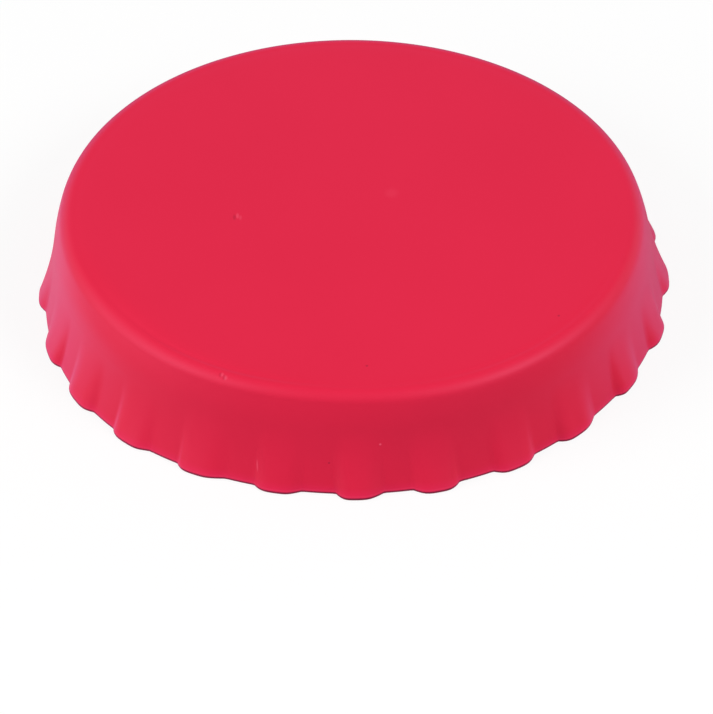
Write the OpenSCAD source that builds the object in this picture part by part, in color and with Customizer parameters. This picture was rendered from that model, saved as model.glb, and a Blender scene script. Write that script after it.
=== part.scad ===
// Silicone can lid: one moulded cap with a fluted skirt, which snaps over a drinks can's rolled seam.
// It stands on its rim. The origin is the centre of the rim's plane, and +Z is up.

/* [Can] */
// Outside diameter of the can's rolled seam
seam_d = 54; // [48:0.5:70]
// Height of the rolled seam
seam_h = 2.6; // [2:0.1:3.2]
// How far the seam stands out past the neck below it
seam_lip = 0.7; // [0.4:0.1:0.9]

/* [Lid] */
// Overall height, from the rim to the top
lid_h = 10.8; // [10:0.1:16]
// Thickness of the top
roof_t = 2; // [1.2:0.1:2.6]
// Thickness of the wall round the seam
wall_t = 2; // [1.6:0.1:3]
// Radius of the rounded shoulder
shoulder_r = 1.3; // [0.4:0.1:2]
// How far the skirt flares out between the shoulder and the rim
flare = 1.8; // [0.8:0.1:3]
// Thickness of the wall at the rim
rim_t = 1.4; // [1:0.1:1.8]

/* [Seat] */
// Height of the bead's throat, which grips the can's neck
throat_h = 0.8; // [0.4:0.1:1.2]
// Height of the cone that leads the seam into the throat
lead_h = 1.2; // [0.8:0.1:1.6]
// Radius of the fillet between the seat and the top
seat_fillet = 0.5; // [0.2:0.1:1]

/* [Flutes] */
// Number of flutes round the skirt
flutes = 24; // [16:1:28]
// How far a flute stands out from the skirt at the rim
flute_out = 0.8; // [0.4:0.05:1.1]
// Radius of a flute at its tip, square to its axis
flute_r = 3.8; // [3:0.1:4.5]
// Height at which a flute runs out into the skirt
flute_h = 6.6; // [5:0.1:8]

/* [Hidden] */

$fa = 3;
$fs = 0.25;

lid_colour = "#df2b48";

// Play over the seam's height, and how far a cutter runs past what it cuts
seam_play = 0.1;
overrun = 1;

// Skirt: its radius at the shoulder and at the rim, and the height between them
seat_r = seam_d / 2;
shoulder_or = seat_r + wall_t;
rim_or = shoulder_or + flare;
rim_ir = rim_or - rim_t;
skirt_h = lid_h - shoulder_r;

// Seat for the seam, and the bead below it, whose throat fits the neck
roof_z = lid_h - roof_t;
seat_z = roof_z - seam_h - seam_play;
throat_r = seat_r - seam_lip;
throat_top = seat_z - seam_lip;
throat_foot = throat_top - throat_h;

// Mouth below the bead: as thick as the seat's wall at its top, thinning towards the rim
mouth_z = throat_foot - lead_h;
mouth_r = skirt_radius(mouth_z) - wall_t;

// Flutes: a cone's point lies this share of its height past where it runs out
flute_reach = 1.2;
hollow_reach = 1.06;

// Hollows behind the flutes: they run out this far below the bead's lead-in
hollow_gap = 0.3;
hollow_h = mouth_z - hollow_gap;
hollow_r = flute_r - rim_t;

// A profile's own seam goes half a pitch round, between two flutes
half_pitch = 180 / flutes;
arc_steps = 8;

// Outside radius of the plain skirt at height z
function skirt_radius(z) = rim_or - flare * z / skirt_h;

// Inside radius of the mouth at height z
function mouth_radius(z) = rim_ir + (mouth_r - rim_ir) * z / mouth_z;

// Quarter arc about [x, z], from level with the centre to straight above it
function quarter_arc(x, z, r) =
    [for (i = [0 : arc_steps]) let (a = 90 * i / arc_steps) [x + r * cos(a), z + r * sin(a)]];

// Plain outside form: flat top, rounded shoulder and flared skirt, solid inside
module outer_form() {
    rotate_extrude()
        polygon(concat(
            [[0, 0], [rim_or, 0]],
            quarter_arc(shoulder_or - shoulder_r, skirt_h, shoulder_r),
            [[0, lid_h]]
        ));
}

// Space inside: seat for the seam, the bead's throat, its lead-in and the flared mouth
module cavity() {
    rotate_extrude()
        polygon(concat(
            [[0, -overrun], [mouth_radius(-overrun), -overrun], [mouth_r, mouth_z]],
            [[throat_r, throat_foot], [throat_r, throat_top], [seat_r, seat_z]],
            quarter_arc(seat_r - seat_fillet, roof_z - seat_fillet, seat_fillet),
            [[0, roof_z]]
        ));
}

// Cone whose outer edge runs from [tip_r, 0] up to [wall_r, h] and on to its point.
// A quarter turn takes the cone's own seam off the wall that it meets.
module flute_cone(tip_r, wall_r, h, round_r, reach) {
    point_z = h * reach;
    point_r = tip_r + (wall_r - tip_r) * reach;
    edge = norm([tip_r - point_r, point_z]);
    lean = atan((tip_r - point_r) / point_z);
    half_angle = asin(round_r / edge);
    cone_h = edge + overrun;
    translate([point_r, 0, point_z])
        rotate([0, 180 + half_angle - lean, 0])
            rotate([0, 0, 90])
                cylinder(h = cone_h, r1 = 0, r2 = cone_h * tan(half_angle));
}

// One flute on +X: the part of its cone that shows, with its back and sides sunk in the wall
module flute() {
    back_r = skirt_radius(flute_h * flute_reach) - rim_t / 4;
    shown_w = sqrt(2 * flute_r * flute_out - pow(flute_out, 2));
    half_w = (shown_w + flute_r) / 2;
    intersection() {
        flute_cone(rim_or + flute_out, skirt_radius(flute_h), flute_h, flute_r, flute_reach);
        translate([back_r, -half_w, 0])
            cube([rim_or + flute_out + overrun - back_r, 2 * half_w, flute_h * flute_reach]);
    }
}

// The hollow behind one flute on +X, which keeps the rim's wall of one thickness
module hollow() {
    flute_cone(rim_ir + flute_out, mouth_radius(hollow_h), hollow_h, hollow_r, hollow_reach);
}

module round_the_skirt() {
    for (i = [0 : flutes - 1])
        rotate([0, 0, i * 2 * half_pitch - 90])
            children();
}

module can_lid() {
    color(lid_colour)
        difference() {
            union() {
                rotate([0, 0, half_pitch])
                    outer_form();
                round_the_skirt()
                    flute();
            }
            rotate([0, 0, half_pitch])
                cavity();
            round_the_skirt()
                hollow();
        }
}

can_lid();
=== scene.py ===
"""Silicone can lid: one soft moulded cap with a fluted skirt, on a pale studio floor.

The lid is a single moulding, so it is one piece: a turned section whose skirt is
pressed out into flutes, dressed in matte red silicone. Sizes are in millimetres
and are brought to metres once, when a mesh is finished.
"""

import logging
import math
import random
from dataclasses import dataclass, replace
from enum import Enum
from typing import Any

import bmesh
import bpy
from mathutils import Matrix, Vector


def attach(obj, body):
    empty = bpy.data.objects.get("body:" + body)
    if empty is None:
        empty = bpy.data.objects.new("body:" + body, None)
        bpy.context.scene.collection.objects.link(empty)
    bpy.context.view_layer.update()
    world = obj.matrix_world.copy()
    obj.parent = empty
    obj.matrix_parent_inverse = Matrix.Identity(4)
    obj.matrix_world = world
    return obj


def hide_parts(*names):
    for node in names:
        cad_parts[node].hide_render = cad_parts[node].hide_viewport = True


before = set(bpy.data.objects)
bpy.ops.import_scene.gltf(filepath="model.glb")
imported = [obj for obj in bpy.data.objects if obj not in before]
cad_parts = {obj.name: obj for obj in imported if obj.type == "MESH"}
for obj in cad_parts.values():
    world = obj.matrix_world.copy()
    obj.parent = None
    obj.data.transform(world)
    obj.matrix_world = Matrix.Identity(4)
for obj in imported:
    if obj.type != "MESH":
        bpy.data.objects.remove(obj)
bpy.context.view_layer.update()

LOG = logging.getLogger("can_lid")
MM = 0.001
# Levels nearer than the first count as one, and points nearer than the second are welded.
SAME_MM = 0.01
WELD_MM = 0.001


class Mark(Enum):
    """What a small blemish does to the surface: its depth in mm and its colour."""

    # A small dent, coloured darker: the dark colour is painted shade in it.
    PAINTED_SHADE_PIT = (-0.015, "#a01230")
    # A small raised bump, coloured paler: the pale colour is a painted highlight on it.
    PAINTED_HIGHLIGHT_PIP = (0.015, "#f0506c")
    # A soft paler spot, with no depth.
    PALE_SPOT = (0.0, "#ea4560")


class Ring(Enum):
    """How closely the section's rings are set, in millimetres."""

    FLAT = 3.0
    EDGE = 0.3
    WALL = 0.28


def linear(hex_colour: str) -> tuple[float, float, float, float]:
    """Turn an sRGB hex colour into a linear one.

    Args:
        hex_colour: Colour as "#rrggbb".

    Returns:
        Linear red, green, blue and an alpha of 1.
    """
    # The numbers are those of the sRGB curve: straight near black, a power above.
    parts = [int(hex_colour[i : i + 2], 16) / 255 for i in (1, 3, 5)]
    return (*(c / 12.92 if c <= 0.04045 else ((c + 0.055) / 1.055) ** 2.4 for c in parts), 1.0)


def smooth_max(value: float, soft: float) -> float:
    """Return value where it is above zero, with the corner at zero rounded.

    Args:
        value: Height above the surface that it runs out into.
        soft: Height over which the corner is rounded.

    Returns:
        The rounded height, never under zero.
    """
    share = max(soft - abs(value), 0.0) / soft
    return max(value, 0.0) + share * share * soft / 4


def smooth_step(low: float, high: float, value: float) -> float:
    """Return 0 below low, 1 above high and an eased blend between them.

    Args:
        low: Where the blend starts.
        high: Where the blend ends.
        value: Where it is read.

    Returns:
        The eased share, from 0 to 1.
    """
    share = min(max((value - low) / (high - low), 0.0), 1.0)
    return share * share * (3 - 2 * share)


def add_node(tree: bpy.types.NodeTree, kind: str, settings: dict[str, Any] | None = None,
             **inputs: Any) -> bpy.types.Node:
    """Add one shader node with its settings, values and links.

    Args:
        tree: Node tree that gets the node.
        kind: The node's type name.
        settings: Properties of the node itself.
        **inputs: Values, or output sockets to link, by input name; a name's spaces
            are underscores, and in0, in1 and so on are inputs by place.

    Returns:
        The new node.
    """
    node = tree.nodes.new(kind)
    for name, value in (settings or {}).items():
        setattr(node, name, value)
    for name, value in inputs.items():
        by_place = name[:2] == "in" and name[2:].isdigit()
        socket = node.inputs[int(name[2:]) if by_place else name.replace("_", " ")]
        if isinstance(value, bpy.types.NodeSocket):
            tree.links.new(value, socket)
        else:
            socket.default_value = value
    return node


def finish_piece(mesh: bmesh.types.BMesh, name: str) -> bpy.types.Object:
    """Bring a mesh to metres and make it a smooth-shaded object at the origin.

    Args:
        mesh: The finished mesh, in millimetres.
        name: The piece's name.

    Returns:
        The object, linked to the scene.
    """
    bmesh.ops.scale(mesh, vec=Vector((MM, MM, MM)), verts=mesh.verts)
    data = bpy.data.meshes.new(name)
    mesh.to_mesh(data)
    mesh.free()
    data.shade_smooth()
    piece = bpy.data.objects.new(name, data)
    bpy.context.scene.collection.objects.link(piece)
    return piece


@dataclass(frozen=True)
class Corner:
    """One corner of the lid's half section.

    Attributes:
        r: Distance from the lid's axis.
        z: Height over the rim's plane.
        reach: How far along both edges its rounding goes; 0 leaves it sharp.
        rings: How closely rings are set on the edge that follows.
    """

    r: float
    z: float
    reach: float = 0.0
    rings: Ring = Ring.WALL


@dataclass(frozen=True)
class Lobe:
    """A soft hump on the lid's outline.

    Attributes:
        at: Its middle, in degrees from +X towards +Y.
        spread: Where it has run out on each side, in degrees.
        size: Its height.
    """

    at: float
    spread: float
    size: float = 1.0

    def value(self, angle: float) -> float:
        """Return its height in one direction.

        Args:
            angle: The direction from the lid's axis, in radians.

        Returns:
            The height, 0 past its spread.
        """
        away = (math.degrees(angle) - self.at + 180) % 360 - 180
        if abs(away) >= self.spread:
            return 0.0
        return self.size * math.cos(away / self.spread * math.pi / 2) ** 2


@dataclass(frozen=True)
class Flute:
    """The shape of one flute, or of the hollow behind it.

    Attributes:
        out: How far it stands out at the rim.
        half_width: Width from its ridge to its left crease at the rim.
        height: Where it has faded into the wall.
        fade: How quickly it fades going up; 1 is even.
        narrow: Share of its width that it loses on the way up.
        ramp: How many times wider its right flank is.
        shift: How far its ridge lies to the right of its even place, in degrees.
        soft: Height over which its creases are rounded at the rim.
        square: How flat its ridge is; 1 is a plain wave.
        reach: How many half widths out from the ridge the wave is followed.
    """

    out: float
    half_width: float
    height: float
    fade: float
    narrow: float = 0.08
    ramp: float = 1.0
    shift: float = 0.0
    soft: float = 0.09
    square: float = 1.8
    reach: float = 1.5

    def width_at(self, z: float, right: bool) -> float:
        """Return the width from its ridge to a crease at height z, on one side."""
        width = self.half_width * (1 - self.narrow * min(z / self.height, 1.0))
        return width * (self.ramp if right else 1.0)

    def swell(self, across: float, z: float) -> float:
        """Return how far it lifts the wall.

        Args:
            across: Distance round the wall from its ridge, positive to the right.
            z: Height over the rim.

        Returns:
            The lift, in millimetres, never under zero.
        """
        if z >= self.height:
            return 0.0
        remains = (1 - max(z, 0.0) / self.height) ** (self.fade / 2)
        share = min(abs(across) / self.width_at(z, across > 0), self.reach) ** self.square
        wave = self.out * remains * remains * math.cos(share * math.pi / 2)
        return smooth_max(wave, self.soft * remains)


@dataclass(frozen=True)
class Quirk:
    """How one flute at the front differs from the even one.

    Attributes:
        place: Its number, counted to the right from the front flute.
        out: How many times further it stands out.
        shift: How far its ridge lies to the right, in degrees.
        width: How many times wider it is.
        ramp: How many times wider its right flank is.
    """

    place: int
    out: float
    shift: float = 0.0
    width: float = 1.0
    ramp: float = 1.0


@dataclass(frozen=True)
class FluteGrid:
    """How the skirt's columns of faces follow the flutes.

    Attributes:
        columns: Columns of faces in each flute's pitch.
        crease_column: Which column, from a ridge, follows the crease.
        crease_least: Least distance of that column, as a share of its even one.
        spread_from: Share of a flute's height at which the columns start to spread.
        spread_over: How far past its top they have spread, in millimetres.
        lean_near: Share of half a pitch within which a shifted flute moves whole.
        lean_from: Share of a flute's height up to which it is shifted whole.
        lean_over: How far past its top the shift has run out, in millimetres.
    """

    columns: int = 24
    crease_column: int = 7
    crease_least: float = 0.4
    spread_from: float = 0.95
    spread_over: float = 2.2
    lean_near: float = 0.42
    lean_from: float = 0.9
    lean_over: float = 2.0

    def draw_in(self, offset: float, half_width: float, z: float, top: float,
                pitch: float) -> float:
        """Draw a column in towards its ridge, so that the mesh follows the creases.

        Args:
            offset: The column's angle from its flute's ridge.
            half_width: Angle from the ridge to the crease at this height.
            z: Height over the rim.
            top: Where the flute ends; above it the columns spread out evenly again.
            pitch: Angle from one flute to the next.

        Returns:
            The column's new angle from the ridge.
        """
        even = self.crease_column * pitch / self.columns
        crease = max(half_width, self.crease_least * even)
        crease += (even - crease) * smooth_step(top * self.spread_from, top + self.spread_over, z)
        size = abs(offset)
        if size <= even:
            moved = size * crease / even
        else:
            moved = crease + (size - even) * (pitch / 2 - crease) / (pitch / 2 - even)
        return math.copysign(moved, offset)

    def lean(self, shift: float, offset: float, z: float, top: float, pitch: float) -> float:
        """Return how far a point moves round with its flute.

        Args:
            shift: How far the flute's ridge has moved, in radians.
            offset: The point's angle from its flute's ridge.
            z: Height over the rim.
            top: Where the flute ends.
            pitch: Angle from one flute to the next.

        Returns:
            The whole shift near the ridge, 0 halfway to the next flute or well above.
        """
        near = 1 - smooth_step(self.lean_near, 1.0, abs(offset) / (pitch / 2))
        low = 1 - smooth_step(top * self.lean_from, top + self.lean_over, z)
        return shift * near * low


@dataclass(frozen=True)
class OutOfRound:
    """How the soft wall has sagged off a true circle.

    Attributes:
        top_oval: How far the top is out of round.
        top_oval_turn: Direction of its long axis.
        top_lobes: Where the top's outline stands out or in.
        rim_oval: How far the rim is out of round.
        rim_oval_turn: Direction of its long axis.
        rim_lobes: Where the rim stands out.
        rim_shift: How far the rim has moved along X and Y.
        bulge: How far the skirt stands out halfway up.
    """

    top_oval: float = 0.96
    top_oval_turn: float = math.radians(-12)
    top_lobes: tuple[Lobe, ...] = (Lobe(-98, 36, -0.32),)
    rim_oval: float = 0.87
    rim_oval_turn: float = math.radians(5)
    rim_lobes: tuple[Lobe, ...] = (Lobe(-142, 34, 0.32), Lobe(-69, 34, 0.3))
    rim_shift: tuple[float, float] = (0.13, -0.42)
    bulge: float = -0.16

    def distance(self, angle: float, up: float) -> float:
        """Return how far the wall stands off a true circle.

        Args:
            angle: The direction from the lid's axis, in radians.
            up: Height as a share of the skirt's, from 0 to 1.

        Returns:
            The distance, positive outwards: the rim's below and the top's above, and
            the skirt's bulge, which is greatest halfway up.
        """
        top = self.top_oval * math.cos(2 * (angle - self.top_oval_turn))
        top += sum(lobe.value(angle) for lobe in self.top_lobes)
        rim = self.rim_oval * math.cos(2 * (angle - self.rim_oval_turn))
        rim += self.rim_shift[0] * math.cos(angle) + self.rim_shift[1] * math.sin(angle)
        rim += sum(lobe.value(angle) for lobe in self.rim_lobes) * (1 - up)
        return top * up + rim * (1 - up) + self.bulge * 4 * up * (1 - up)


@dataclass(frozen=True)
class MouldRing:
    """The fine ring that the mould leaves on the top, just inside the shoulder.

    Attributes:
        r: Its radius.
        width: Its width.
        least: Its depth all the way round.
        depths: Where it is deeper.
        room: How far inside it the top starts to soften.
    """

    r: float = 27.55
    width: float = 0.32
    least: float = 0.008
    depths: tuple[Lobe, ...] = (Lobe(-122, 32, 0.065), Lobe(-50, 35, 0.05))
    room: float = 2.0

    def depth(self, angle: float, r: float) -> float:
        """Return how deep it is.

        Args:
            angle: The direction from the lid's axis, in radians.
            r: Distance from the axis.

        Returns:
            The depth, which falls off smoothly on both sides of the ring's radius.
        """
        away = (r - self.r) / self.width
        ring = sum(lobe.value(angle) for lobe in self.depths) + self.least
        return ring * math.exp(-(away**2))


@dataclass(frozen=True)
class Slump:
    """How the shoulder has sunk.

    Attributes:
        least: How far all the way round.
        places: Where it has sunk further.
        inside: How far inside the shoulder the sinking is centred.
        spread: How far it spreads.
        share: Share of it that goes down, and as much inwards.
    """

    least: float = 0.06
    places: tuple[Lobe, ...] = (Lobe(-160, 60, 0.15), Lobe(-147, 24, 0.32))
    inside: float = 0.25
    spread: float = 2.2
    share: float = 0.7

    def depth(self, angle: float, out: float, up: float) -> float:
        """Return how far a point sinks.

        Args:
            angle: The direction from the lid's axis, in radians.
            out: The point's distance outside the shoulder's radius.
            up: Its height over the top.

        Returns:
            The distance that it goes down and inwards.
        """
        deepest = self.least + sum(lobe.value(angle) for lobe in self.places)
        away = math.hypot(out + self.inside, up)
        return deepest * math.exp(-((away / self.spread) ** 2)) * self.share


@dataclass(frozen=True)
class Crown:
    """How the wall curves in towards the top.

    Attributes:
        depth: How far it is drawn in at the top.
        foot: Height at which that starts.
        radii: Radii between which it comes in over the top.
    """

    depth: float = 0.42
    foot: float = 6.8
    radii: tuple[float, float] = (25.0, 28.4)

    def drawn_in(self, r: float, z: float, height: float) -> float:
        """Return how far a point at r and z comes in, on a lid of a height."""
        up = max(z - self.foot, 0.0) / (height - self.foot)
        return self.depth * up * up * smooth_step(*self.radii, r)


@dataclass
class CanLid:
    """The lid: flat top, rounded shoulder, fluted skirt, and the seat inside it.

    Attributes:
        height: From the rim's plane to the top.
        skirt_h: Where the skirt ends and the shoulder starts.
        shoulder_r: Outside radius there.
        rim_r: Outside radius of the rim between flutes.
        rim_inside_r: Inside radius of the rim.
        shoulder_reach: How far the shoulder's rounding goes along both its edges.
        rim_reach: The same for both edges of the rim.
        lead_reach: The same for the corner where the mouth ends.
        bead_reach: The same for the corners of the snap bead.
        roof_reach: The same for the corner under the roof.
        round_steps: Edges in each rounding.
        uncut: Length up to which an edge of the section isn't divided.
        flat_r: Radius out to which the top needs few rings.
        outer_skin: Depth of the skirt that moves with its outside, above the mouth.
        seat_skin: How far out of the seat's wall the shoulder's softening starts.
        pressed_from: How far inside the throat the flutes' pressing starts.
        roof_z: Height of the roof's underside.
        seat_r: Radius of the seat that holds the can's seam.
        seat_z: Foot of the seat.
        throat_r: Radius of the snap bead that grips the can's neck.
        throat_top: Top of the bead's throat.
        throat_foot: Foot of the bead's throat.
        mouth_z: Top of the flared mouth.
        mouth_r: Radius of the mouth there.
        flutes: Number of flutes.
        grid: How the skirt's columns of faces follow the flutes.
        flute: The even flute.
        hollow: The even hollow behind a flute.
        quirks: How the flutes at the front differ.
        seed: Seed of the other flutes' small differences.
        out_range: Least and most of how many times further those stand out.
        shift_most: Most that their ridges shift, in degrees.
        sag: How the soft wall has sagged out of round.
        ring: The fine ring inside the shoulder.
        slump: How the shoulder has sunk.
        crown: How the wall curves in towards the top.
        slot: The record's material slot; not used.
        body: The body that the lid rides on.
        node: The CAD node that it stands for.
    """

    height: float = 10.8
    skirt_h: float = 9.5
    shoulder_r: float = 29.22
    rim_r: float = 30.85
    rim_inside_r: float = 29.4
    shoulder_reach: float = 0.9
    rim_reach: float = 0.34
    lead_reach: float = 0.3
    bead_reach: float = 0.2
    roof_reach: float = 0.5
    round_steps: int = 6
    uncut: float = 0.5
    flat_r: float = 25.6
    outer_skin: float = 0.5
    seat_skin: float = 0.1
    pressed_from: float = 1.0
    roof_z: float = 8.8
    seat_r: float = 27.0
    seat_z: float = 6.1
    throat_r: float = 26.3
    throat_top: float = 5.4
    throat_foot: float = 4.6
    mouth_z: float = 3.4
    mouth_r: float = 28.16
    flutes: int = 24
    grid: FluteGrid = FluteGrid()
    flute: Flute = Flute(out=0.72, half_width=2.4, height=6.8, fade=1.6)
    hollow: Flute = Flute(out=0.65, half_width=1.9, height=3.1, fade=1.0)
    quirks: tuple[Quirk, ...] = (
        Quirk(-5, 1.0, shift=1.0, width=1.2, ramp=0.75),
        Quirk(-4, 0.95, shift=-0.5, width=1.1, ramp=0.85),
        Quirk(-3, 0.9, shift=-1.2),
        Quirk(-2, 0.95, shift=-1.5, width=0.85, ramp=1.4),
        Quirk(-1, 0.95, shift=-0.7, width=0.9, ramp=1.2),
        Quirk(0, 1.3, shift=-0.7, width=0.78, ramp=1.5),
        Quirk(1, 1.25, width=1.05, ramp=0.9),
        Quirk(2, 1.15, width=0.9, ramp=1.2),
        Quirk(3, 1.1, shift=-0.8, width=0.85, ramp=1.4),
        Quirk(4, 0.95, shift=-0.5, width=0.65, ramp=1.8),
        Quirk(5, 1.05),
        Quirk(6, 1.0, ramp=1.4),
    )
    seed: int = 7
    out_range: tuple[float, float] = (0.88, 1.12)
    shift_most: float = 0.8
    sag: OutOfRound = OutOfRound()
    ring: MouldRing = MouldRing()
    slump: Slump = Slump()
    crown: Crown = Crown()
    slot: str = "silicone"
    body: str = "root"
    node: str = "can_lid"

    def corners(self) -> list[Corner]:
        """List the half section's corners.

        Returns:
            The corners, from the top's centre round the rim to the roof's centre.
        """
        lean = (self.rim_r - self.shoulder_r) / self.skirt_h
        edge_r = self.shoulder_r - lean * (self.height - self.skirt_h)
        return [
            Corner(0, self.height, rings=Ring.FLAT),
            Corner(self.flat_r, self.height, rings=Ring.EDGE),
            Corner(edge_r, self.height, self.shoulder_reach),
            Corner(self.rim_r, 0, self.rim_reach),
            Corner(self.rim_inside_r, 0, self.rim_reach),
            Corner(self.mouth_r, self.mouth_z, self.lead_reach),
            Corner(self.throat_r, self.throat_foot, self.bead_reach),
            Corner(self.throat_r, self.throat_top, self.bead_reach),
            Corner(self.seat_r, self.seat_z, self.bead_reach),
            Corner(self.seat_r, self.roof_z, self.roof_reach, Ring.FLAT),
            Corner(0, self.roof_z),
        ]

    def section(self) -> bmesh.types.BMesh:
        """Draw the half section, round its corners and divide its edges.

        Returns:
            A mesh of one open line in the XZ plane.
        """
        mesh = bmesh.new()
        spacing = mesh.edges.layers.float.new("spacing")
        corners = self.corners()
        points = [mesh.verts.new((c.r, 0, c.z)) for c in corners]
        edges = [mesh.edges.new(pair) for pair in zip(points, points[1:])]
        for edge, corner in zip(edges, corners):
            edge[spacing] = corner.rings.value
        for point, corner in zip(points, corners):
            if corner.reach:
                bmesh.ops.bevel(mesh, geom=[point], offset=corner.reach, offset_type="OFFSET",
                                affect="VERTICES", segments=self.round_steps, profile=0.5,
                                material=-1)
        for edge in list(mesh.edges):
            length = edge.calc_length()
            gap = edge[spacing] or Ring.WALL.value
            cuts = math.ceil(length / gap) - 1
            if length > self.uncut and cuts > 0:
                bmesh.ops.subdivide_edges(mesh, edges=[edge], cuts=cuts)
        return mesh

    def turned(self) -> bmesh.types.BMesh:
        """Spin the half section into the closed plain lid, without its flutes.

        Returns:
            The mesh, in millimetres, with its faces pointing outwards.
        """
        mesh = self.section()
        bmesh.ops.spin(mesh, geom=mesh.verts[:] + mesh.edges[:], cent=(0, 0, 0), axis=(0, 0, 1),
                       dvec=(0, 0, 0), angle=2 * math.pi, steps=self.flutes * self.grid.columns,
                       use_merge=True, use_duplicate=False)
        bmesh.ops.remove_doubles(mesh, verts=mesh.verts, dist=WELD_MM)
        bmesh.ops.recalc_face_normals(mesh, faces=mesh.faces)
        return mesh

    def outer_r(self, z: float) -> float:
        """Return the plain skirt's outside radius at height z."""
        return self.rim_r - (self.rim_r - self.shoulder_r) * z / self.skirt_h

    def inner_r(self, z: float) -> float:
        """Return the mouth's inside radius at height z."""
        return self.rim_inside_r + (self.mouth_r - self.rim_inside_r) * z / self.mouth_z

    def outside_share(self, r: float, z: float) -> float:
        """Say how much a point belongs to the skirt's outside.

        Args:
            r: Distance from the lid's axis.
            z: Height over the rim.

        Returns:
            1 outside, 0 inside and a blend across the rim's thickness.
        """
        if z > self.mouth_z:
            return 1.0 if r > self.outer_r(z) - self.outer_skin else 0.0
        inner, outer = self.inner_r(z), self.outer_r(z)
        return min(max((r - inner) / (outer - inner), 0.0), 1.0)

    def all_flutes(self) -> list[tuple[Flute, Flute]]:
        """Shape every flute and its hollow, the front ones by their quirks.

        Returns:
            One flute and hollow for each place, counted to the right from the front.
        """
        known = {quirk.place % self.flutes: quirk for quirk in self.quirks}
        chance = random.Random(self.seed)
        shaped = []
        for place in range(self.flutes):
            plain = Quirk(place, chance.uniform(*self.out_range),
                          chance.uniform(-self.shift_most, self.shift_most))
            quirk = known.get(place, plain)
            shaped.append(tuple(
                replace(form, out=form.out * quirk.out, half_width=form.half_width * quirk.width,
                        ramp=quirk.ramp, shift=quirk.shift)
                for form in (self.flute, self.hollow)))
        return shaped

    def press_flutes(self, mesh: bmesh.types.BMesh) -> None:
        """Press the flutes out of the skirt and hollow their backs.

        Args:
            mesh: The turned lid, in millimetres.
        """
        pitch = 2 * math.pi / self.flutes
        flutes = self.all_flutes()
        for vert in mesh.verts:
            x, y, z = vert.co
            r = math.hypot(x, y)
            if r < self.throat_r - self.pressed_from:
                continue
            angle = math.atan2(y, x)
            place = round((angle + math.pi / 2) / pitch)
            ridge = place * pitch - math.pi / 2
            offset = angle - ridge
            outside = self.outside_share(r, z)
            flute, hollow = flutes[place % self.flutes]
            moved = lift = 0.0
            for share, form in ((outside, flute), (1 - outside, hollow)):
                width = form.width_at(z, offset > 0) / r
                moved += share * self.grid.draw_in(offset, width, z, form.height, pitch)
            for share, form in ((outside, flute), (1 - outside, hollow)):
                lift += share * form.swell(moved * r, z)
            shift = math.radians(flute.shift)
            turned = ridge + moved + self.grid.lean(shift, moved, z, flute.height, pitch)
            vert.co = ((r + lift) * math.cos(turned), (r + lift) * math.sin(turned), z)

    def soften(self, mesh: bmesh.types.BMesh) -> None:
        """Crown the wall, sink the slumped shoulder and sink the ring inside it.

        Args:
            mesh: The fluted lid, in millimetres.
        """
        for vert in mesh.verts:
            x, y, z = vert.co
            r = math.hypot(x, y)
            on_top = z > self.height - SAME_MM
            outside = on_top or r >= self.seat_r + self.seat_skin
            if r < self.ring.r - self.ring.room or z < self.crown.foot or not outside:
                continue
            angle = math.atan2(y, x)
            fall = self.ring.depth(angle, r) if on_top else 0.0
            sunk = self.slump.depth(angle, r - self.shoulder_r, z - self.height)
            grown = 1 - (sunk + self.crown.drawn_in(r, z, self.height)) / r
            vert.co = (x * grown, y * grown, z - sunk - fall)

    def relax(self, mesh: bmesh.types.BMesh) -> None:
        """Let the soft wall sag a little out of round.

        Args:
            mesh: The fluted lid, in millimetres.
        """
        for vert in mesh.verts:
            x, y, z = vert.co
            r = math.hypot(x, y)
            if r < SAME_MM:
                continue
            angle = math.atan2(y, x)
            up = min(max(z / self.skirt_h, 0.0), 1.0)
            grown = r + self.sag.distance(angle, up) * r / self.shoulder_r
            vert.co = (grown * math.cos(angle), grown * math.sin(angle), z)

    def build(self) -> bpy.types.Object:
        """Build the whole lid as one closed mesh.

        Returns:
            The lid's object.
        """
        mesh = self.turned()
        self.press_flutes(mesh)
        self.soften(mesh)
        self.relax(mesh)
        piece = finish_piece(mesh, "lid")
        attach(piece, self.body)
        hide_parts(self.node)
        return piece

    def dress(self, piece: bpy.types.Object, material: bpy.types.Material) -> None:
        """Give the lid its silicone."""
        piece.data.materials.append(material)


def add_range(tree: bpy.types.NodeTree, value: bpy.types.NodeSocket, low: float, high: float,
              at_low: float = 0.0, at_high: float = 1.0) -> bpy.types.NodeSocket:
    """Add an eased, clamped ramp.

    Args:
        tree: Node tree that gets the node.
        value: What the ramp reads.
        low: Where the ramp starts; it may be above high.
        high: Where the ramp ends.
        at_low: What it gives at its start.
        at_high: What it gives at its end.

    Returns:
        The ramp's socket.
    """
    node = add_node(tree, "ShaderNodeMapRange", {"interpolation_type": "SMOOTHSTEP"},
                    Value=value, From_Min=low, From_Max=high, To_Min=at_low, To_Max=at_high)
    return node.outputs["Result"]


def add_mix(tree: bpy.types.NodeTree, share: Any, under: Any, over: Any) -> bpy.types.NodeSocket:
    """Add a mix of two colours, where share is how much of over shows."""
    # A Mix node lists its number, vector and colour sockets one after the other.
    node = add_node(tree, "ShaderNodeMix", {"data_type": "RGBA"}, in0=share, in6=under, in7=over)
    return node.outputs[2]


def add_math(tree: bpy.types.NodeTree, kind: str, first: Any, second: Any) -> bpy.types.NodeSocket:
    """Add one sum, product or the like of two values."""
    return add_node(tree, "ShaderNodeMath", {"operation": kind}, in0=first, in1=second).outputs[0]


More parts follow.
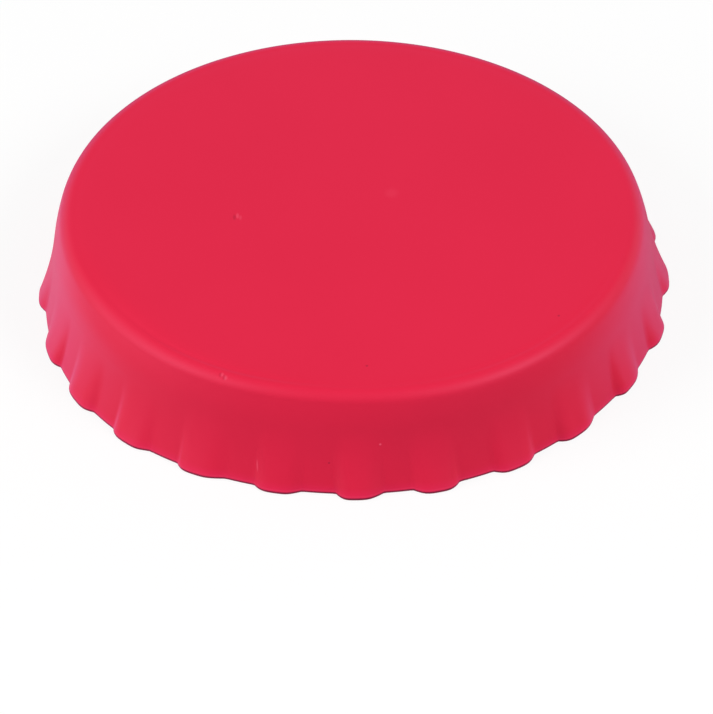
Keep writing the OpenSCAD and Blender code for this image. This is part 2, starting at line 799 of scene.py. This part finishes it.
@dataclass(frozen=True)
class Blemish:
    """One small mark in the silicone.

    Attributes:
        mark: What it does to the surface.
        place: Its middle, in millimetres.
        size: Its radius, in millimetres.
        strength: Share of its colour that shows.
        stretch: How many times longer it is along X, Y and Z.
        core: Share of its radius within which it is at full strength.
    """

    mark: Mark
    place: tuple[float, float, float]
    size: float
    strength: float
    stretch: tuple[float, float, float] = (1.0, 1.0, 1.0)
    core: float = 0.25

    def share(self, tree: bpy.types.NodeTree, place: bpy.types.NodeSocket) -> bpy.types.NodeSocket:
        """Add the nodes that are 1 in its middle and 0 outside it.

        Args:
            tree: Node tree that gets the nodes.
            place: Object coordinates.

        Returns:
            The socket that gives the share.
        """
        kind = "ShaderNodeVectorMath"
        away = add_node(tree, kind, {"operation": "SUBTRACT"}, in0=place,
                        in1=[c * MM for c in self.place]).outputs["Vector"]
        away = add_node(tree, kind, {"operation": "MULTIPLY"}, in0=away,
                        in1=[1 / times for times in self.stretch]).outputs["Vector"]
        length = add_node(tree, kind, {"operation": "LENGTH"}, in0=away).outputs["Value"]
        return add_range(tree, length, self.size * MM, self.core * self.size * MM)


@dataclass(frozen=True)
class PaintedBand:
    """A soft band of painted light and shade near the rim.

    Attributes:
        colour: Its colour.
        top: Height over the rim at which it starts, in millimetres.
        full: Height under which all of it shows.
        share: How much of it shows there.
        foot: Heights between which it comes in again over the rim's bottom face, or
            None where it goes all the way down.
    """

    colour: str
    top: float
    full: float
    share: float
    foot: tuple[float, float] | None = None

    def over(self, tree: bpy.types.NodeTree, height: bpy.types.NodeSocket,
             tone: bpy.types.NodeSocket) -> bpy.types.NodeSocket:
        """Lay the band over a colour.

        Args:
            tree: Node tree that gets the nodes.
            height: Height over the rim, in metres.
            tone: The colour under it.

        Returns:
            The new colour's socket.
        """
        share = add_range(tree, height, self.top * MM, self.full * MM, 0.0, self.share)
        if self.foot:
            low, high = self.foot
            share = add_math(tree, "MULTIPLY", share, add_range(tree, height, low * MM, high * MM))
        return add_mix(tree, share, tone, linear(self.colour))


@dataclass(frozen=True)
class MouldedSilicone:
    """Solid red silicone rubber, as moulded in a lightly blasted tool.

    It is matte: lamps show as broad soft highlights. A faint painted sheen pales it to
    pink where it is seen along the surface. A painted glow makes the thin rim warmer, as
    if it let more light through, a painted highlight lies on its lip, and painted shade
    draws a dark hairline on the rim's lower rounding.

    Attributes:
        name: The material's name.
        colour: The paler of its two body colours.
        deep: The deeper one; slow blotches blend the two.
        painted_rim_bands: Painted light and shade at the rim, in order: a glow on the thin rim, a
        highlight on its lip and the shade of a dark hairline under it.
        ior: Silicone rubber's index of refraction.
        roughness: Its middle roughness.
        rough_range: How far the blotches take the roughness up and down.
        rough_from: Noise at which it is least and at which it is most.
        specular: Strength of its gloss.
        glare_colour: Tint of its gloss.
        painted_sheen: Share of the painted sheen's colour that shows along the surface.
        painted_sheen_from: How far from face on the painted sheen starts; 1 is edge on.
        painted_sheen_full: Where all of it shows.
        painted_sheen_colour: Its colour.
        blotch_mm: Size of the slow blotches.
        grain_mm: Width of the blasted grain.
        grain_depth_mm: Depth of the grain.
        blemishes: The small marks; dark ones are painted shade in dents, pale ones
        painted highlights on bumps and along one flute's crease.
    """

    name: str = "red_moulded_silicone"
    colour: str = "#de1c3f"
    deep: str = "#da1a3c"
    painted_rim_bands: tuple[PaintedBand, ...] = (
        # Painted glow, as of light let through the thin rim.
        PaintedBand("#e21c4c", 1.3, 0.3, 0.8),
        # Painted highlight on the rim's lip.
        PaintedBand("#ee4468", 0.6, 0.46, 0.2),
        # Painted shade: a dark hairline on the rim's lower rounding.
        PaintedBand("#741030", 0.37, 0.28, 0.9, foot=(0.05, 0.12)),
    )
    ior: float = 1.41
    roughness: float = 0.52
    rough_range: float = 0.03
    rough_from: tuple[float, float] = (0.2, 0.8)
    specular: float = 0.5
    glare_colour: str = "#ffcef9"
    # Painted sheen, paler where the surface is seen along it.
    painted_sheen: float = 0.52
    painted_sheen_from: float = 0.28
    painted_sheen_full: float = 0.85
    painted_sheen_colour: str = "#da588e"
    blotch_mm: float = 14.0
    # A blasted mould's grain is finer than a pixel here, so it is drawn coarser to show.
    grain_mm: float = 0.3
    grain_depth_mm: float = 0.003
    blemishes: tuple[Blemish, ...] = (
        # A speck on the top: a dent with painted shade beside two bumps with painted highlights.
        Blemish(Mark.PAINTED_SHADE_PIT, (-11.8, -0.6, 10.8), 0.24, 0.4, (1.0, 2.6, 1.0)),
        Blemish(Mark.PAINTED_HIGHLIGHT_PIP, (-11.5, -0.4, 10.8), 0.22, 0.5, (1.0, 2.6, 1.0)),
        Blemish(Mark.PAINTED_HIGHLIGHT_PIP, (-11.2, -0.7, 10.8), 0.2, 0.3, (1.0, 2.6, 1.0)),
        Blemish(Mark.PALE_SPOT, (4.2, 2.5, 10.8), 1.0, 0.16),
        Blemish(Mark.PAINTED_SHADE_PIT, (1.2, -23.3, 10.8), 0.19, 0.6),
        Blemish(Mark.PAINTED_SHADE_PIT, (20.4, -16.7, 10.8), 0.19, 0.6),
        Blemish(Mark.PAINTED_HIGHLIGHT_PIP, (2.3, -28.9, 5.4), 0.17, 1.0),
        Blemish(Mark.PAINTED_SHADE_PIT, (-2.8, -29.3, 3.4), 0.16, 0.7),
        # A nick near the shoulder: dents with painted shade beside bumps with painted highlights.
        Blemish(Mark.PAINTED_SHADE_PIT, (-13.25, -23.85, 10.7), 0.24, 0.35, (1.0, 1.4, 3.0)),
        Blemish(Mark.PAINTED_HIGHLIGHT_PIP, (-13.05, -23.85, 10.7), 0.22, 0.4, (1.0, 1.4, 3.0)),
        Blemish(Mark.PAINTED_SHADE_PIT, (-12.9, -24.15, 10.6), 0.24, 0.35, (1.0, 1.4, 3.0)),
        Blemish(Mark.PAINTED_HIGHLIGHT_PIP, (-12.7, -24.2, 10.6), 0.22, 0.4, (1.0, 1.4, 3.0)),
        # A thin raised line of painted highlight up the left crease of the flute left of the front
        # one.
        Blemish(Mark.PAINTED_HIGHLIGHT_PIP, (-9.9, -28.3, 2.4), 0.11, 0.6, (1.0, 5.0, 9.0)),
    )

    def skin(self, tree: bpy.types.NodeTree, height: bpy.types.NodeSocket,
             blotch: bpy.types.NodeSocket) -> bpy.types.NodeSocket:
        """Colour the silicone: its body, painted light and shade at the rim, and a painted sheen.

        Args:
            tree: Node tree that gets the nodes.
            height: Height over the rim, in metres.
            blotch: Slow noise, from 0 to 1.

        Returns:
            The colour's socket.
        """
        tone = add_mix(tree, blotch, linear(self.deep), linear(self.colour))
        # Painted light and shade at the rim: a glow, a highlight on its lip and a dark hairline
        # under it.
        for band in self.painted_rim_bands:
            tone = band.over(tree, height, tone)
        # Painted sheen: paler towards the edges, where the surface is seen along it.
        facing = add_node(tree, "ShaderNodeLayerWeight", Blend=0.5).outputs["Facing"]
        painted_sheen = add_range(tree, facing, self.painted_sheen_from, self.painted_sheen_full, 0.0, self.painted_sheen)
        return add_mix(tree, painted_sheen, tone, linear(self.painted_sheen_colour))

    def make(self) -> bpy.types.Material:
        """Build the material.

        Returns:
            The node material.
        """
        material = bpy.data.materials.new(self.name)
        material.use_nodes = True
        tree = material.node_tree
        tree.nodes.clear()
        place = add_node(tree, "ShaderNodeTexCoord").outputs["Object"]
        height = add_node(tree, "ShaderNodeSeparateXYZ", Vector=place).outputs["Z"]
        blotch = add_node(tree, "ShaderNodeTexNoise", Vector=place, Scale=1 / (self.blotch_mm * MM),
                          Detail=3.0, Roughness=0.5).outputs["Fac"]
        grain = add_node(tree, "ShaderNodeTexNoise", Vector=place, Scale=1 / (self.grain_mm * MM),
                         Detail=2.0, Roughness=0.6).outputs["Fac"]
        tone = self.skin(tree, height, blotch)
        relief = add_math(tree, "MULTIPLY", grain, self.grain_depth_mm * MM)
        for blemish in self.blemishes:
            depth, colour = blemish.mark.value
            share = blemish.share(tree, place)
            tint = add_math(tree, "MULTIPLY", share, blemish.strength)
            tone = add_mix(tree, tint, tone, linear(colour))
            relief = add_math(tree, "ADD", relief, add_math(tree, "MULTIPLY", share, depth * MM))
        bump = add_node(tree, "ShaderNodeBump", Height=relief, Strength=1.0, Distance=1.0)
        rough = add_range(tree, blotch, *self.rough_from, self.roughness - self.rough_range,
                          self.roughness + self.rough_range)
        shader = add_node(tree, "ShaderNodeBsdfPrincipled", Base_Color=tone, Roughness=rough,
                          Normal=bump.outputs["Normal"], IOR=self.ior,
                          Specular_IOR_Level=self.specular,
                          Specular_Tint=linear(self.glare_colour))
        add_node(tree, "ShaderNodeOutputMaterial", Surface=shader.outputs["BSDF"])
        return material


@dataclass(frozen=True)
class StudioPaper:
    """White background paper, lit from behind so that only a soft shadow shows on it.

    Attributes:
        name: The material's name.
        colour: The paper's own colour.
        glow: Share of plain white that the camera sees in place of lit paper.
        bounce_colour: Its colour for the light that it throws on the lid.
        card_colour: Colour of the dark cards, which only reflections show.
        card_y: How far before and behind the lid the cards start, in millimetres.
        card_blur: Half the width over which they come in.
        shade_x: Distances to the right between which the paper darkens.
        shade: How much of the cards' colour it has there.
    """

    name: str = "white_studio_paper"
    colour: str = "#f7f7f7"
    glow: float = 0.86
    bounce_colour: str = "#b4b4b4"
    card_colour: str = "#303030"
    card_y: float = 31.0
    card_blur: float = 5.0
    shade_x: tuple[float, float] = (5.0, 30.0)
    shade: float = 0.55

    def make(self) -> bpy.types.Material:
        """Build the material.

        The camera sees the glow and the lid gets a plain bounce. Dark cards before and
        behind the lid, which only its reflections show, keep its front a deep red.

        Returns:
            The node material.
        """
        material = bpy.data.materials.new(self.name)
        material.use_nodes = True
        tree = material.node_tree
        tree.nodes.clear()
        rays = add_node(tree, "ShaderNodeLightPath")
        paper = add_node(tree, "ShaderNodeBsdfDiffuse", Color=linear(self.colour))
        white = add_node(tree, "ShaderNodeEmission", Color=(1, 1, 1, 1), Strength=1.0)
        seen = add_node(tree, "ShaderNodeMixShader", in0=self.glow, in1=paper.outputs[0],
                        in2=white.outputs[0])
        place = add_node(tree, "ShaderNodeTexCoord").outputs["Object"]
        across = add_node(tree, "ShaderNodeSeparateXYZ", Vector=place)
        away = add_math(tree, "ABSOLUTE", across.outputs["Y"], 0.0)
        card = add_range(tree, away, (self.card_y - self.card_blur) * MM,
                         (self.card_y + self.card_blur) * MM)
        low, high = self.shade_x
        shade = add_range(tree, across.outputs["X"], low * MM, high * MM, 0.0, self.shade)
        card = add_math(tree, "MAXIMUM", card, shade)
        mirrored = add_mix(tree, card, linear(self.colour), linear(self.card_colour))
        tone = add_mix(tree, rays.outputs["Is Glossy Ray"], linear(self.bounce_colour), mirrored)
        bounce = add_node(tree, "ShaderNodeBsdfDiffuse", Color=tone)
        mixed = add_node(tree, "ShaderNodeMixShader", in0=rays.outputs["Is Camera Ray"],
                         in1=bounce.outputs[0], in2=seen.outputs[0])
        add_node(tree, "ShaderNodeOutputMaterial", Surface=mixed.outputs[0])
        return material


@dataclass(frozen=True)
class SoftLamp:
    """One softbox, aimed at the lid.

    Attributes:
        name: The lamp's name.
        azimuth: Direction that it shines from, in degrees from +X towards +Y.
        elevation: Its height over the floor, in degrees.
        distance: How far off it stands, in millimetres.
        size: Width of its square face, in millimetres.
        level: Share of white that it gives a surface facing it.
    """

    name: str
    azimuth: float
    elevation: float
    distance: float
    size: float
    level: float

    def place(self) -> bpy.types.Object:
        """Set the lamp up.

        Returns:
            The lamp's object.
        """
        a, e = math.radians(self.azimuth), math.radians(self.elevation)
        back = Vector((math.cos(a) * math.cos(e), math.sin(a) * math.cos(e), math.sin(e)))
        light = bpy.data.lights.new(self.name, "AREA")
        light.shape = "SQUARE"
        light.size = self.size * MM
        # Watts over the square of pi times the distance give a white surface's brightness.
        light.energy = self.level * (math.pi * self.distance * MM) ** 2
        lamp = bpy.data.objects.new(self.name, light)
        lamp.location = back * self.distance * MM
        lamp.rotation_euler = (-back).to_track_quat("-Z", "Y").to_euler()
        bpy.context.scene.collection.objects.link(lamp)
        return lamp


@dataclass
class Studio:
    """The white paper floor, the softboxes and the pale room round them.

    Attributes:
        floor_half: Half the floor's width, in millimetres.
        floor_z: Its height, just under the lid's rim.
        floor_cells: Faces along each side of it.
        room_level: Light from the whole room, as a share of white.
        room_sides: What its two far sides add.
        sides_x: How far to the side they start and are full; 1 is straight across.
        sides_y: How far to the back they start and are full; 1 is straight back.
        lamps: The softboxes.
    """

    floor_half: float = 4000.0
    floor_z: float = -0.02
    floor_cells: int = 4
    room_level: float = 0.34
    room_sides: float = 0.93
    sides_x: tuple[float, float] = (0.35, 0.75)
    sides_y: tuple[float, float] = (-0.3, 0.8)
    lamps: tuple[SoftLamp, ...] = (
        SoftLamp("left_softbox", -161, 32, 600, 370, 0.65),
        SoftLamp("right_softbox", -31, 40, 600, 250, 0.53),
    )

    def floor(self) -> bpy.types.Object:
        """Lay the paper floor.

        Returns:
            The floor's object.
        """
        mesh = bmesh.new()
        bmesh.ops.create_grid(mesh, x_segments=self.floor_cells, y_segments=self.floor_cells,
                              size=self.floor_half)
        bmesh.ops.translate(mesh, vec=Vector((0, 0, self.floor_z)), verts=mesh.verts)
        floor = finish_piece(mesh, "floor")
        floor.data.materials.append(StudioPaper().make())
        return floor

    def room(self) -> None:
        """Light the room, more at its far sides, and show it white to the camera."""
        world = bpy.data.worlds.new("studio_room")
        bpy.context.scene.world = world
        world.use_nodes = True
        tree = world.node_tree
        tree.nodes.clear()
        rays = add_node(tree, "ShaderNodeLightPath")
        aim = add_node(tree, "ShaderNodeTexCoord").outputs["Generated"]
        along = add_node(tree, "ShaderNodeSeparateXYZ", Vector=aim)
        back = add_range(tree, along.outputs["Y"], *self.sides_y, 0.0, self.room_sides)
        wide = add_math(tree, "ABSOLUTE", along.outputs["X"], 0.0)
        wall = add_math(tree, "MULTIPLY", add_range(tree, wide, *self.sides_x), back)
        level = add_math(tree, "ADD", wall, self.room_level)
        light = add_node(tree, "ShaderNodeBackground", Color=(1, 1, 1, 1), Strength=level)
        white = add_node(tree, "ShaderNodeBackground", Color=(1, 1, 1, 1), Strength=1.0)
        mixed = add_node(tree, "ShaderNodeMixShader", in0=rays.outputs["Is Camera Ray"],
                         in1=light.outputs[0], in2=white.outputs[0])
        add_node(tree, "ShaderNodeOutputWorld", Surface=mixed.outputs[0])

    def build(self) -> None:
        """Set up the floor, the lamps and the room."""
        self.floor()
        for lamp in self.lamps:
            lamp.place()
        self.room()


@dataclass(frozen=True)
class ProductCamera:
    """A long lens that looks down on the lid's front.

    Attributes:
        elevation: Angle over the floor, in degrees.
        roll: Turn about the line of sight, in degrees.
        distance: From the lid's middle, in millimetres.
        px_per_mm: Scale of the picture at the lid's middle.
        centre: Where the lid's middle lies in the picture, in pixels.
        picture: The picture's width and height, in pixels.
        middle_z: Height of the lid's middle.
        sensor_mm: Width of the camera's sensor.
        clip: Nearest and furthest that it sees, in millimetres.
    """

    elevation: float = 41.62
    roll: float = -1.5
    distance: float = 582.6
    px_per_mm: float = 9.785
    centre: tuple[float, float] = (351.8, 250.05)
    picture: tuple[float, float] = (713.0, 714.0)
    middle_z: float = 5.4
    sensor_mm: float = 36.0
    clip: tuple[float, float] = (10.0, 20000.0)

    def build(self) -> bpy.types.Object:
        """Place the camera and make it the scene's.

        Returns:
            The camera's object.
        """
        e, turn = math.radians(self.elevation), math.radians(self.roll)
        forward = Vector((0, math.cos(e), -math.sin(e)))
        level, up = Vector((1, 0, 0)), Vector((0, math.sin(e), math.cos(e)))
        right = level * math.cos(turn) + up * math.sin(turn)
        up = up * math.cos(turn) - level * math.sin(turn)
        focal_px = self.px_per_mm * self.distance
        place = Vector((0, 0, self.middle_z)) - forward * self.distance
        off_x = self.picture[0] / 2 - self.centre[0]
        off_y = self.picture[1] / 2 - self.centre[1]
        aim = (forward * focal_px + right * off_x - up * off_y).normalized()
        right = (right - aim * right.dot(aim)).normalized()
        up = right.cross(aim)
        data = bpy.data.cameras.new("camera")
        data.sensor_width = self.sensor_mm
        data.lens = focal_px * self.sensor_mm / max(self.picture)
        data.clip_start, data.clip_end = (distance * MM for distance in self.clip)
        camera = bpy.data.objects.new("camera", data)
        turned = Matrix((right, up, -aim)).transposed().to_4x4()
        camera.matrix_world = Matrix.Translation(place * MM) @ turned
        bpy.context.scene.collection.objects.link(camera)
        bpy.context.scene.camera = camera
        return camera


def main() -> None:
    """Build the camera, the studio and the lid, in that order."""
    logging.basicConfig(level=logging.INFO, format="%(message)s")
    bpy.context.scene.view_settings.view_transform = "Standard"
    ProductCamera().build()
    Studio().build()
    lid = CanLid()
    piece = lid.build()
    lid.dress(piece, MouldedSilicone().make())
    LOG.info("%s: %d faces", piece.name, len(piece.data.polygons))


if __name__ == "__main__":
    main()
